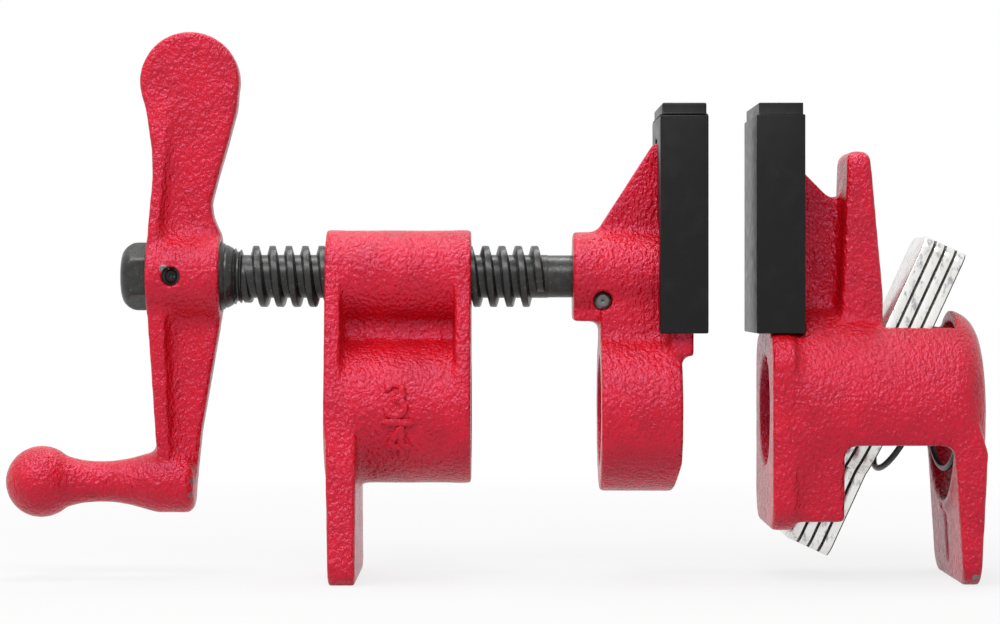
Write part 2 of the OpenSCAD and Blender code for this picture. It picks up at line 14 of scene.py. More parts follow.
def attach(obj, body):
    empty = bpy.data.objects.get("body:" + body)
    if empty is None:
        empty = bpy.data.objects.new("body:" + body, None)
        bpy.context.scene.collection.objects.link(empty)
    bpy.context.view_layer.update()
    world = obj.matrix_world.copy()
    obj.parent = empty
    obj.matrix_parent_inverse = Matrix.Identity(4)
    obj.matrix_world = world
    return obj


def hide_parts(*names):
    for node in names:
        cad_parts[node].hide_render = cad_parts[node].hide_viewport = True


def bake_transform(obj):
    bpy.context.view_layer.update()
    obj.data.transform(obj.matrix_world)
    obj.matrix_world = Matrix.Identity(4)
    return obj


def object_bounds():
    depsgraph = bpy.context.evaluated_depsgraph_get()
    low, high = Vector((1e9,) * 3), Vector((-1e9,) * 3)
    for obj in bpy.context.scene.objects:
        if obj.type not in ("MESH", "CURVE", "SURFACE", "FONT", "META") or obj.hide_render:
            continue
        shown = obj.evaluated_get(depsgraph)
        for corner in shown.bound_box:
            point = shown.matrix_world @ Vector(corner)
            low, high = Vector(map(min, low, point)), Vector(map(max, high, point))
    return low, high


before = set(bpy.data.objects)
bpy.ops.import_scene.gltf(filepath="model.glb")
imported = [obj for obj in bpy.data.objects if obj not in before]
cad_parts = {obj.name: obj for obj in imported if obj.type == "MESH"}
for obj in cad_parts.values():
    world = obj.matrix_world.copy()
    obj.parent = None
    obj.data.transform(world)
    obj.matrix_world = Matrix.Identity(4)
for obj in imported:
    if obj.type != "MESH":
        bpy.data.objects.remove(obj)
cad_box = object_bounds()


def mm(value):
    return value * 0.001


# ---- sizes that the looks share with the CAD source ---------------------------
SCREW_Z = 34.5
PITCH = 4.2333
SCREW_R = 15.875 / 2
FLANK = math.tan(math.radians(14.5))
CREST_W = 0.3707 * PITCH
ALLOW = 0.254
ROOT_R = SCREW_R - PITCH / 2 - ALLOW
ROOT_W = CREST_W + 2 * (SCREW_R - ROOT_R) * FLANK
FLANK_GAP = 0.1
FIRST_CREST_X = -59.45
FIRST_CREST_ANGLE = 126
SCREW_TURNS = 366 / 20
HUB_X = (-83.4, -64.5)
HEX_AF = 15.4
HEX_X0 = -90.2
JOURNAL_R = 8.85
COLLAR_X1 = -61.2
THREAD_X1 = 19.8
NECK_R = 5.45
NECK_X1 = 44.0
GROOVE_X, GROOVE_R, GROOVE_W = 33.7, 3.75, 4.9
HEAD_X0 = -37.4
BARREL_R = 18.8
SOCKET_R = 12.05
PIPE_THREAD_PITCH = 25.4 / 14
PIN_R = 2.4
CRANK_PIN_X = -76.7
JAW_PIN = (33.7, 28.30)
AXIS_H = 43.2
TILT = math.radians(24.72)
FULCRUM = (105.0, 21.0)
CUP_X = 126.0
WIRE_R, COIL_R, COIL_LOOPS, COIL_EASE = 0.8, 15.0, 2, 0.8
STACK_T = 4 * 2.85
HOOD_R, HOOD_HW = 26.0, 25.6            # the hood's round top, and its half width beside the axis
SKIRT_HW, SKIRT_Z = 22.5, -27.4         # the hood's lower edge
FLANGE_X1 = 81.85                       # back of the tail's front flange
FRONT_PLATE_X, REAR_PLATE_X = 53.5, 78.7
CAST_BORE_R = 14.1


# ---- materials -----------------------------------------------------------------
class Nodes:
    """A material's node tree with short calls to add and join nodes."""

    def __init__(self, name):
        self.material = bpy.data.materials.new(name)
        self.material.use_nodes = True
        self.tree = self.material.node_tree
        self.shader = self.tree.nodes["Principled BSDF"]
        self.place = self.add("ShaderNodeTexCoord").outputs["Object"]

    def add(self, kind, **settings):
        node = self.tree.nodes.new(kind)
        for key, value in settings.items():
            setattr(node, key, value)
        return node

    def join(self, a, b):
        self.tree.links.new(a, b)

    def noise(self, size, detail=3, rough=0.5, stretch=(1, 1, 1)):
        """Noise from 0 to 1 whose features are about size millimetres."""
        place = self.add("ShaderNodeMapping")
        place.inputs["Scale"].default_value = stretch
        self.join(self.place, place.inputs["Vector"])
        node = self.add("ShaderNodeTexNoise")
        node.inputs["Scale"].default_value = 1 / mm(size)
        node.inputs["Detail"].default_value = detail
        node.inputs["Roughness"].default_value = rough
        self.join(place.outputs["Vector"], node.inputs["Vector"])
        return node.outputs["Fac"]

    def band(self, value, low, high, out_low=0.0, out_high=1.0):
        node = self.add("ShaderNodeMapRange", clamp=True)
        for key, number in zip(("From Min", "From Max", "To Min", "To Max"), (low, high, out_low, out_high)):
            node.inputs[key].default_value = number
        self.join(value, node.inputs["Value"])
        return node.outputs["Result"]

    def math(self, kind, a, b):
        node = self.add("ShaderNodeMath", operation=kind)
        for socket, value in zip(node.inputs, (a, b)):
            if isinstance(value, (int, float)):
                socket.default_value = value
            else:
                self.join(value, socket)
        return node.outputs["Value"]

    def mix(self, factor, a, b):
        """Colour a where factor is 0 and b where it is 1."""
        node = self.add("ShaderNodeMix", data_type="RGBA")
        self.join(factor, node.inputs["Factor"])
        for key, colour in (("A", a), ("B", b)):
            socket = [s for s in node.inputs if s.name == key and s.type == "RGBA"][0]
            if isinstance(colour, tuple):
                socket.default_value = (*colour, 1)
            else:
                self.join(colour, socket)
        return [s for s in node.outputs if s.type == "RGBA"][0]

    def bump(self, layers):
        """Stacks (height, depth in mm) layers into the shader's normal."""
        normal = None
        for height, depth in layers:
            node = self.add("ShaderNodeBump")
            node.inputs["Strength"].default_value = 1
            node.inputs["Distance"].default_value = mm(depth)
            self.join(height, node.inputs["Height"])
            if normal is not None:
                self.join(normal, node.inputs["Normal"])
            normal = node.outputs["Normal"]
        self.join(normal, self.shader.inputs["Normal"])

    def near(self, point, radius, soft):
        """1 inside a ball at a point of the frame, falling to 0 over soft millimetres."""
        node = self.add("ShaderNodeVectorMath", operation="DISTANCE")
        node.inputs[1].default_value = [mm(c) for c in point]
        self.join(self.place, node.inputs[0])
        return self.band(node.outputs["Value"], mm(radius), mm(radius + soft), 1, 0)

    def set(self, **values):
        for key, value in values.items():
            socket = self.shader.inputs[key.replace("_", " ")]
            if isinstance(value, bpy.types.NodeSocket):
                self.join(value, socket)
            else:
                socket.default_value = (*value, 1) if isinstance(value, tuple) else value


def red_enamel(name, chips=()):
    """Thick red enamel over sand-cast iron, with bare chips at the given (point, radius)."""
    n = Nodes(name)
    pooled = n.band(n.noise(9, 2), 0.35, 0.65)
    colour = n.mix(pooled, (0.60, 0.0030, 0.010), (0.51, 0.0022, 0.008))
    pits = n.band(n.noise(1.1, 4, 0.6), 0.60, 0.74)
    colour = n.mix(pits, colour, (0.36, 0.002, 0.006))
    rough = n.band(n.noise(4, 3), 0.3, 0.7, 0.20, 0.30)
    bare = None
    for point, radius in chips:
        spot = n.near(point, radius * 0.6, radius * 0.8)
        spot = n.band(n.math("MULTIPLY", spot, n.noise(0.7, 3)), 0.22, 0.30)
        bare = spot if bare is None else n.math("MAXIMUM", bare, spot)
    if bare is not None:
        colour = n.mix(bare, colour, (0.20, 0.19, 0.19))
        rough = n.math("MAXIMUM", rough, n.math("MULTIPLY", bare, 0.55))
        n.set(Metallic=n.math("MULTIPLY", bare, 0.8))
    n.set(Base_Color=colour, Roughness=rough, IOR=1.5)
    n.set(Specular_IOR_Level=0.50, Specular_Tint=(0.62, 0.56, 1.0))
    pebbles = n.band(n.noise(0.95, 1, 0.5, (1, 1, 0.75)), 0.25, 0.75)
    sand = n.band(n.noise(0.5, 2, 0.5), 0.3, 0.7)
    n.bump([(n.noise(6, 1), 0.25), (pebbles, 0.34), (sand, 0.10)])
    return n.material


def black_oxide(name, grain=(1, 1, 1), lift=1.0):
    """Dark oxide on steel. lift scales its colours and its specular level, which makes one part darker or
    lighter than the others.
    """
    n = Nodes(name)
    wear = n.band(n.noise(2.2, 4, 0.6), 0.50, 0.74)
    dark = tuple(c * lift for c in (0.013, 0.014, 0.013))
    worn = tuple(c * lift for c in (0.034, 0.036, 0.033))
    colour = n.mix(wear, dark, worn)
    specks = n.band(n.noise(0.55, 2, 0.5), 0.70, 0.76)
    colour = n.mix(specks, colour, (0.42, 0.42, 0.40))
    rough = n.band(n.noise(1.2, 3), 0.3, 0.7, 0.24, 0.40)
    n.set(Base_Color=colour, Roughness=rough, IOR=1.5, Specular_IOR_Level=0.42 * lift)
    n.bump([(n.noise(0.35, 3, 0.6, grain), 0.03), (n.noise(2.5, 2), 0.05)])
    return n.material


def satin_plastic(name):
    n = Nodes(name)
    dust = n.band(n.noise(7, 4, 0.6), 0.50, 0.75)
    colour = n.mix(dust, (0.005, 0.005, 0.005), (0.010, 0.010, 0.010))
    rough = n.band(n.noise(3, 3), 0.3, 0.7, 0.30, 0.42)
    n.set(Base_Color=colour, Roughness=rough, IOR=1.45, Specular_IOR_Level=0.24)
    n.bump([(n.noise(0.22, 2), 0.012), (n.noise(9, 2, 0.5, (1, 1, 0.12)), 0.22)])
    return n.material


def bright_zinc(name):
    n = Nodes(name)
    brushed = n.noise(0.5, 3, 0.6, (1, 1, 0.08))
    tint = n.band(n.noise(8, 2), 0.35, 0.7)
    colour = n.mix(tint, (0.86, 0.86, 0.85), (0.76, 0.75, 0.71))
    colour = n.mix(n.band(brushed, 0.62, 0.82), colour, (0.52, 0.50, 0.46))
    blotch = n.band(n.noise(1.6, 4, 0.65, (1, 1, 0.5)), 0.54, 0.66)
    colour = n.mix(blotch, colour, (0.40, 0.40, 0.42))
    n.set(Base_Color=colour, Metallic=0.9, Roughness=n.band(brushed, 0.3, 0.7, 0.18, 0.34))
    n.bump([(brushed, 0.015)])
    return n.material


def painted_gap_shade(name):
    """Painted shade: dark bevels on the plate corners that face the gaps between the plates, where shade
    falls.
    """
    n = Nodes(name)
    colour = n.mix(n.band(n.noise(1.3, 3, 0.6), 0.4, 0.6), (0.030, 0.026, 0.022), (0.10, 0.095, 0.085))
    n.set(Base_Color=colour, Metallic=0.5, Roughness=0.6)
    n.bump([(n.noise(0.4, 3, 0.6), 0.03)])
    return n.material


# ---- meshes --------------------------------------------------------------------
def new_object(name, verts, faces):
    """Vertices in millimetres."""
    mesh = bpy.data.meshes.new(name)
    mesh.from_pydata([tuple(mm(c) for c in v) for v in verts], [], faces)
    obj = bpy.data.objects.new(name, mesh)
    bpy.context.scene.collection.objects.link(obj)
    outward(obj)
    return obj


def outward(obj):
    bm = bmesh.new()
    bm.from_mesh(obj.data)
    bmesh.ops.recalc_face_normals(bm, faces=bm.faces)
    bm.to_mesh(obj.data)
    bm.free()


def cad_copy(name, node):
    """A new object with the merged mesh of a CAD node."""
    bm = bmesh.new()
    bm.from_mesh(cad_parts[node].data)
    bmesh.ops.remove_doubles(bm, verts=bm.verts, dist=mm(0.001))
    mesh = bpy.data.meshes.new(name)
    bm.to_mesh(mesh)
    bm.free()
    obj = bpy.data.objects.new(name, mesh)
    bpy.context.scene.collection.objects.link(obj)
    return obj


def modify(obj, kind, **settings):
    """Adds a modifier and applies it at once."""
    modifier = obj.modifiers.new(kind, kind)
    for key, value in settings.items():
        setattr(modifier, key, value)
    bpy.context.view_layer.update()
    done = obj.evaluated_get(bpy.context.evaluated_depsgraph_get())
    mesh = bpy.data.meshes.new_from_object(done)
    obj.modifiers.clear()
    obj.data = mesh
    return obj


def cut(obj, tool):
    modify(obj, "BOOLEAN", operation="DIFFERENCE", solver="EXACT", object=tool)
    bpy.data.objects.remove(tool)
    return obj


def absorb(obj, *others):
    """Joins closed shells into one object. They keep their material slots."""
    parts = [obj, *others]
    materials = []
    bm = bmesh.new()
    for part in parts:
        offset = len(materials)
        materials += list(part.data.materials)
        start = len(bm.faces)
        bm.from_mesh(part.data)
        bm.faces.ensure_lookup_table()
        for face in bm.faces[start:]:
            face.material_index += offset
    bm.to_mesh(obj.data)
    bm.free()
    obj.data.materials.clear()
    for material in materials:
        obj.data.materials.append(material)
    for other in others:
        bpy.data.objects.remove(other)
    return obj


def walls(rings, count, start=0):
    """Faces between rings of count points each, which follow each other from point start."""
    faces = []
    for i in range(rings - 1):
        a, b = start + i * count, start + (i + 1) * count
        faces += [(a + k, a + (k + 1) % count, b + (k + 1) % count, b + k) for k in range(count)]
    return faces


def cap(ring, count, start=0):
    return tuple(start + ring * count + k for k in range(count))


def tube_faces(rings, count):
    return walls(rings, count) + [cap(0, count), cap(rings - 1, count)]


def lathe(name, profile, segments=96, z=SCREW_Z):
    """Turns (x, r) points, from one end on the axis to the other, about an axis along X."""
    verts = []
    for x, r in profile:
        for k in range(segments):
            a = 2 * math.pi * k / segments
            verts.append((x, r * math.cos(a), z + r * math.sin(a)))
    return new_object(name, verts, tube_faces(len(profile), segments))


def helix(name, x_first, angle_first, turns, pitch, profile, z=SCREW_Z, per_turn=64, fade=None, low_r=0.0):
    """A closed ridge: profile holds (dx, r) points, swept turns times round the axis.
    fade holds the turns over which its height rises from low_r and sinks back to it."""
    steps = round(turns * per_turn)
    verts = []
    for i in range(steps + 1):
        a = math.radians(angle_first + 360 * i / per_turn)
        x = x_first + pitch * i / per_turn
        share = min(1, i / per_turn / fade[0], (steps - i) / per_turn / fade[1]) if fade else 1
        for dx, r in profile:
            r = min(r, low_r + (r - low_r) * share) if fade else r
            verts.append((x + dx, r * math.cos(a), z + r * math.sin(a)))
    return new_object(name, verts, tube_faces(steps + 1, len(profile)))


def points(obj):
    co = np.empty(len(obj.data.vertices) * 3)
    obj.data.vertices.foreach_get("co", co)
    return co.reshape(-1, 3) * 1000


def set_points(obj, co):
    obj.data.vertices.foreach_set("co", (np.asarray(co) / 1000).ravel())
    obj.data.update()


def outward_of(obj):
    normals = np.empty(len(obj.data.vertices) * 3)
    obj.data.vertices.foreach_get("normal", normals)
    return normals.reshape(-1, 3)


def relax(obj, passes, keep=None, hollows=False):
    """Rounds edges and corners as paint and casting do. keep holds 1 for points that stay.
    With hollows only inside corners move, which lays a fillet in them."""
    edges = np.empty(len(obj.data.edges) * 2, np.int64)
    obj.data.edges.foreach_get("vertices", edges)
    edges = edges.reshape(-1, 2)
    a, b = np.concatenate([edges[:, 0], edges[:, 1]]), np.concatenate([edges[:, 1], edges[:, 0]])
    co = points(obj)
    total = len(co)
    degree = np.maximum(np.bincount(a, minlength=total), 1)
    move = 0.5 * (1 - (keep if keep is not None else np.zeros(total)))
    for turn in range(passes):
        mean = np.stack([np.bincount(a, co[b, k], total) for k in range(3)], 1) / degree[:, None]
        step = (mean - co) * move[:, None]
        if hollows:
            if turn % 10 == 0:
                set_points(obj, co)
                out = outward_of(obj)
            step *= np.clip((step * out).sum(1) / 0.004, 0, 1)[:, None]
        co += step
    set_points(obj, co)


def uneven(obj, size, depth, keep=None):
    """Moves the surface in and out a little, as a sand mould leaves it."""
    co = points(obj)
    wave = np.array([noise.noise(Vector(p / size)) for p in co])
    if keep is not None:
        wave *= 1 - keep
    set_points(obj, co + outward_of(obj) * (wave * depth)[:, None])


def about_axis(co, z):
    """Distance from an axis along X at height z."""
    return np.hypot(co[:, 1], co[:, 2] - z)


def near_step(value, low, high):
    """1 below low, 0 above high, straight between."""
    return np.clip((high - value) / (high - low), 0, 1)


def cast(name, obj, voxel, passes, keep_at, fillets, wave=0.05):
    """Turns a sharp solid into a casting with soft edges. fillets is a number of passes and
    a function that gives 1 where inside corners stay sharp. Nothing leaves the solid's box."""
    low, high = points(obj).min(0), points(obj).max(0)
    modify(obj, "REMESH", mode="VOXEL", voxel_size=mm(voxel))
    keep = keep_at(points(obj))
    relax(obj, passes, keep)
    fill_passes, sharp_at = fillets
    relax(obj, fill_passes, np.maximum(keep, sharp_at(points(obj))), hollows=True)
    uneven(obj, 4.5, wave, keep)
    set_points(obj, np.clip(points(obj), low, high))
    obj.name = name
    return obj


def nowhere(co):
    return np.zeros(len(co))


def bevelled(obj, width, segments=3, angle=35, material=-1):
    modify(obj, "DECIMATE", decimate_type="DISSOLVE", angle_limit=math.radians(1))
    return modify(obj, "BEVEL", width=mm(width), segments=segments, limit_method="ANGLE",
                  angle_limit=math.radians(angle), use_clamp_overlap=True, material=material)


def dress(obj, material):
    obj.data.materials.clear()
    obj.data.materials.append(material)


def finish_piece(obj, body, node, material=None, sharp_at=38):
    """Smooths a piece, hangs it on its body and puts it in the place of its CAD node.
    Without a material it keeps its own, and without a body the caller hangs it."""
    if material is not None:
        dress(obj, material)
    for polygon in obj.data.polygons:
        polygon.use_smooth = True
    obj.data.set_sharp_from_angle(angle=math.radians(sharp_at))
    if body is not None:
        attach(obj, body)
    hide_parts(node)


# ---- head casting --------------------------------------------------------------
def stroke(name, path, radius=1.0, height=0.85, segments=10):
    """A raised round-topped stroke along (x, z) points, laid on the barrel's near side."""
    dense = []
    for (x0, z0), (x1, z1) in zip(path, path[1:]):
        count = max(2, int(math.hypot(x1 - x0, z1 - z0) / 0.35))
        dense += [(x0 + (x1 - x0) * i / count, z0 + (z1 - z0) * i / count) for i in range(count)]
    dense.append(path[-1])
    centre = [Vector((x, -math.sqrt(BARREL_R**2 - z * z), z)) for x, z in dense]
    last = len(centre) - 1
    rings = []
    for i, p in enumerate(centre):
        along = (centre[min(i + 1, last)] - centre[max(i - 1, 0)]).normalized()
        out = Vector((0, p.y, p.z)).normalized()
        side = along.cross(out).normalized()
        rings.append((p, along, out, side, 1.0))
    first, end = rings[0], rings[-1]
    caps = [(0.0, 0.35), (0.5, 0.8)]
    start = [(first[0] - first[1] * radius * (1 - t), *first[1:4], s) for t, s in caps]
    stop = [(end[0] + end[1] * radius * (1 - t), *end[1:4], s) for t, s in reversed(caps)]
    rings = start + rings + stop
    verts = []
    for p, along, out, side, scale in rings:
        for k in range(segments):
            a = 2 * math.pi * k / segments
            wide, high = (math.copysign(abs(f) ** 0.75, f) for f in (math.cos(a), math.sin(a)))
            verts.append(p + side * (radius * scale * wide) + out * (height * scale * high))
    return new_object(name, verts, tube_faces(len(rings), segments))


def arc(cx, cz, rx, rz, a0, a1, count=14):
    turns = [math.radians(a0 + (a1 - a0) * i / count) for i in range(count + 1)]
    return [(cx + rx * math.cos(a), cz + rz * math.sin(a)) for a in turns]


def size_mark():
    """The raised pipe size: 3 over a bar over 4."""
    three_high = arc(-19.2, 5.25, 2.0, 1.95, 155, -85)
    three_low = arc(-19.1, 1.35, 2.3, 2.05, 85, -155)
    bar = [(-21.6, -2.35), (-15.0, -2.35)]
    four_stem = [(-17.6, -11.0), (-17.6, -4.0)]
    four_arm = [(-17.9, -4.0), (-20.9, -8.5), (-16.0, -8.5)]
    strokes = [three_high, three_low, bar, four_stem, four_arm]
    parts = [stroke(f"mark_{i}", path) for i, path in enumerate(strokes)]
    return absorb(parts[0], *parts[1:])


def head_casting():
    wall = cad_copy("head_body", "head_casting")
    # both bores are lined with their threads in head(), so they are opened here
    cut(wall, lathe("boss_bore", [(HEAD_X0 + 1.0, 9.2), (-1.0, 9.2)]))
    cut(wall, lathe("socket_bore", [(HEAD_X0 + 0.8, 14.2), (-0.12, 14.2)], z=0))
    def keep(co):
        feet = near_step(co[:, 2], -AXIS_H + 0.15, -AXIS_H + 0.4)
        boss = near_step(about_axis(co, SCREW_Z), 9.4, 10.0)
        socket = near_step(about_axis(co, 0), 14.4, 15.0)
        return np.maximum.reduce([feet * 0.5, boss, socket])
    def sharp(co):
        back = near_step(co[:, 0], HEAD_X0 + 14, HEAD_X0 + 22)
        pocket = near_step(co[:, 1], 4, 8) * near_step(-co[:, 2], -14, -10)
        return 0.75 * pocket * (1 - back)
    cast("head", wall, 0.45, 14, keep, (45, sharp))
    return wall


def threaded_lining(name, x0, x1, outer_r, inner_r, z, cutter):
    tube = lathe(name, [(x0, inner_r), (x0, outer_r), (x1, outer_r), (x1, inner_r)], z=z)
    bm = bmesh.new()
    bm.from_mesh(tube.data)
    bmesh.ops.delete(bm, geom=[f for f in bm.faces if len(f.verts) > 4], context="FACES_ONLY")
    rings = [e for e in bm.edges if e.is_boundary]
    bmesh.ops.bridge_loops(bm, edges=rings)
    bmesh.ops.recalc_face_normals(bm, faces=bm.faces)
    bm.to_mesh(tube.data)
    bm.free()
    return cut(tube, cutter)


def head():
    red = red_enamel("red_enamel_head")
    bare = black_oxide("bare_iron", (0.15, 1, 1))
    body = head_casting()
    dress(body, red)
    mark = size_mark()
    dress(mark, red)
    minor_r, major_r = ROOT_R + ALLOW, SCREW_R + ALLOW
    wide = ROOT_W - 2 * ALLOW * FLANK + 2 * FLANK_GAP
    slim = CREST_W - 2 * ALLOW * FLANK + 2 * FLANK_GAP
    first = math.floor((HEAD_X0 - FIRST_CREST_X) / PITCH) - 1
    groove = [(-wide / 2 - FLANK, minor_r - 1), (-slim / 2, major_r),
              (slim / 2, major_r), (wide / 2 + FLANK, minor_r - 1)]
    tap = helix("tap", FIRST_CREST_X + PITCH * first, FIRST_CREST_ANGLE, 12, PITCH, groove)
    nut = threaded_lining("nut", HEAD_X0 + 1.2, -1.2, 9.6, minor_r, SCREW_Z, tap)
    deep = 0.95
    groove = [(-0.85, SOCKET_R - 0.3), (-0.12, SOCKET_R + deep),
              (0.12, SOCKET_R + deep), (0.85, SOCKET_R - 0.3)]
    pipe_tap = helix("pipe_tap", HEAD_X0 - 3, 0, 24, PIPE_THREAD_PITCH, groove, z=0)
    socket = threaded_lining("socket", HEAD_X0 + 0.7, -0.15, 14.6, SOCKET_R, 0, pipe_tap)
    for lining in (nut, socket):
        dress(lining, bare)
    absorb(body, mark, nut, socket)
    body.name = "head"
    finish_piece(body, "head", "head_casting")


# ---- screw and crank -----------------------------------------------------------
def spindle():
    half = CREST_W / 2
    base = ROOT_W / 2 + 0.4 * FLANK
    low = ROOT_R - 0.4
    edge = [(half - 0.24, SCREW_R), (half - 0.10, SCREW_R - 0.03), (half + 0.04, SCREW_R - 0.16), (base, low)]
    crest = [(-dx, r) for dx, r in reversed(edge)] + edge
    ridge = helix("ridge", FIRST_CREST_X, FIRST_CREST_ANGLE, SCREW_TURNS, PITCH, crest,
                  fade=(0.7, 0.18), low_r=ROOT_R - 0.3)
    in_hub = [(HUB_X[0] - 0.4, 0.01), (HUB_X[0] - 0.4, JOURNAL_R - 0.3),
              (HUB_X[0] - 0.1, JOURNAL_R), (HUB_X[1] + 0.15, JOURNAL_R)]
    collar = [(HUB_X[1] + 0.40, JOURNAL_R - 0.2), (HUB_X[1] + 0.9, JOURNAL_R - 0.45),
              (HUB_X[1] + 1.1, JOURNAL_R - 0.8), (HUB_X[1] + 1.6, JOURNAL_R - 0.75),
              (COLLAR_X1 - 0.4, SCREW_R - 0.55), (COLLAR_X1 - 0.1, SCREW_R - 0.95)]
    rolled = [(0.15, 0.75), (0.35, 0.65), (0.6, 1.3), (0.9, 1.55), (1.25, 1.5), (1.7, 1.0), (1.9, 1.1)]
    run_out = [(COLLAR_X1 + dx, SCREW_R - low_by) for dx, low_by in rolled]
    root = [(COLLAR_X1 + 2.3, ROOT_R), (THREAD_X1 - 0.3, ROOT_R), (THREAD_X1, ROOT_R - 0.1)]
    groove_x0, groove_x1 = GROOVE_X - GROOVE_W / 2, GROOVE_X + GROOVE_W / 2
    neck = [(THREAD_X1 + 0.1, NECK_R), (groove_x0 - 0.2, NECK_R), (groove_x0, GROOVE_R),
            (groove_x1, GROOVE_R), (groove_x1 + 0.2, NECK_R), (NECK_X1 - 0.8, NECK_R),
            (NECK_X1, NECK_R - 0.8), (NECK_X1, 0.01)]
    core = lathe("core", in_hub + collar + run_out + root + neck)
    hexagon = hexagon_end()
    absorb(ridge, core, hexagon)
    ridge.name = "spindle_body"
    finish_piece(ridge, "screw", "spindle", black_oxide("black_oxide_screw"), sharp_at=30)


def hexagon_end():
    """A hexagon bar with a corner up and a rounded end, so that each flat ends in an arc."""
    dome = [(0, 5.0), (0.15, 5.75), (0.4, 6.45), (0.75, 7.0), (1.2, 7.5),
            (1.75, 7.95), (2.4, 8.35), (3.1, 8.65), (3.9, 9.0)]
    stations = dome + [(HUB_X[0] - HEX_X0 + 0.6, 9.0)]
    side = math.pi / 3
    corner_r = HEX_AF / 2 / math.cos(side / 2) - 0.12
    segments = 120
    verts = [(HEX_X0, 0, SCREW_Z)]
    for dx, turned_r in stations:
        for k in range(segments):
            a = 2 * math.pi * k / segments
            off = (a + side / 2) % side - side / 2
            r = min(HEX_AF / 2 / math.cos(off), corner_r, turned_r)
            verts.append((HEX_X0 + dx, r * math.cos(a), SCREW_Z + r * math.sin(a)))
    tip = [(0, 1 + k, 1 + (k + 1) % segments) for k in range(segments)]
    faces = tip + walls(len(stations), segments, 1) + [cap(len(stations) - 1, segments, 1)]
    return new_object("hexagon", verts, faces)


def crank():
    body = cad_copy("crank_body", "crank_handle")
    def keep(co):
        bore = near_step(about_axis(co, SCREW_Z), 9.1, 9.6)
        pin = near_step(np.hypot(co[:, 0] - CRANK_PIN_X, co[:, 2] - SCREW_Z), PIN_R + 0.3, PIN_R + 0.7)
        return np.maximum(bore, pin * 0.7)
    cast("crank", body, 0.44, 12, keep, (220, nowhere))
    by_pin = ((-78.4, -10.8, 36.4), 1.1)
    down_the_arm = [((-71.0, -6.2, -14.5), 0.7), ((-71.4, -6.8, -18.0), 0.8), ((-72.0, -6.4, -21.5), 0.7)]
    enamel = red_enamel("red_enamel_crank", [by_pin, *down_the_arm])
    finish_piece(body, "screw", "crank_handle", enamel)


def turned_pin(name, x, z, half, body, node, lift):
    """A solid pin across the clamp, with chamfered ends and a centre mark in each."""
    end = [(0.5, 0.01), (0.05, 0.42), (0, 0.55), (0, 1.35), (0.12, 1.6), (0.75, 2.25), (1.0, PIN_R)]
    profile = [(d - half, r) for d, r in end] + [(half - d, r) for d, r in reversed(end)]
    obj = lathe(name, profile, 64, z=0)
    co = points(obj)
    set_points(obj, np.stack([co[:, 1] + x, co[:, 0], co[:, 2] + z], 1))
    outward(obj)
    finish_piece(obj, body, node, black_oxide("steel_" + name, lift=lift))


# ---- jaws ----------------------------------------------------------------------
def sliding_jaw():
    body = cad_copy("jaw_body", "sliding_jaw")
    def keep(co):
        bore = near_step(about_axis(co, 0), CAST_BORE_R + 0.2, CAST_BORE_R + 0.8)
        seat = near_step(about_axis(co, SCREW_Z), 5.7, 6.3) * near_step(co[:, 0], 44.5, 45.5)
        pin = near_step(np.hypot(co[:, 0] - JAW_PIN[0], co[:, 2] - JAW_PIN[1]), PIN_R + 0.3, PIN_R + 0.8)
        plate = near_step(np.abs(co[:, 0] - FRONT_PLATE_X), 3.3, 3.6) * near_step(-co[:, 2], -21, -20)
        return np.maximum.reduce([bore * 0.7, seat, pin * 0.7, plate * 0.8])
    cast("front_jaw", body, 0.42, 12, keep, (60, nowhere))
    finish_piece(body, "front_jaw", "sliding_jaw", red_enamel("red_enamel_jaw"))


def pad(name, node, body):
    obj = cad_copy(name, node)
    bevelled(obj, 0.7, 3)
    finish_piece(obj, body, node, satin_plastic("plastic_" + name))


def beside_flange():
    """What the looks take off the CAD's front wall: all outside the hood behind a 6 mm flange."""
    top, low, out = 20.5, -50, 40
    side = [(math.sqrt(HOOD_R**2 - z * z), z) for z in [top * (1 - i / 12) for i in range(13)]]
    side += [(HOOD_HW, -0.4), (SKIRT_HW, SKIRT_Z)]
    outline = side + [(-y, z) for y, z in reversed(side)] + [(-out, top), (-out, low), (out, low), (out, top)]
    verts = [(x, y, z) for x in (FLANGE_X1, 87.0) for y, z in outline]
    return new_object("beside_flange", verts, tube_faces(2, len(outline)))


def tail_casting():
    body = cut(cad_copy("tail_body", "tail_casting"), beside_flange())
    def keep(co):
        bore = near_step(about_axis(co, 0), CAST_BORE_R + 0.2, CAST_BORE_R + 0.7)
        plate = near_step(np.abs(co[:, 0] - REAR_PLATE_X), 3.3, 3.6) * near_step(-co[:, 2], -27, -26)
        foot = near_step(co[:, 2], -AXIS_H + 0.15, -AXIS_H + 0.4)
        return np.maximum.reduce([bore * 0.6, plate * 0.8, foot * 0.5])
    def sharp(co):
        # inside the hood, where the plates and their spring move
        inside = near_step(about_axis(co, 0), 23.6, 24.2) * near_step(-co[:, 0], -84, -83)
        ledge = near_step(np.abs(co[:, 0] - 103.5), 5.5, 6.5) * near_step(np.abs(co[:, 2] - 22), 3.5, 4.5)
        return np.maximum(inside, ledge)
    cast("tail", body, 0.45, 14, keep, (60, sharp))
    # the hood's rear corner runs softly into the foot
    co = points(body)
    behind = near_step(-co[:, 0], -119, -116) * near_step(-np.abs(co[:, 1]), -12, -10)
    join = behind * near_step(np.abs(co[:, 2] + 3), 10, 14)
    relax(body, 240, 1 - join * (1 - sharp(co)), hollows=True)
    chips = [((125.0, -6.0, -42.0), 1.1), ((126.5, -24.0, -41.0), 1.0), ((127.6, -20.0, -41.5), 0.8)]
    finish_piece(body, "tail", "tail_casting", red_enamel("red_enamel_tail", chips))


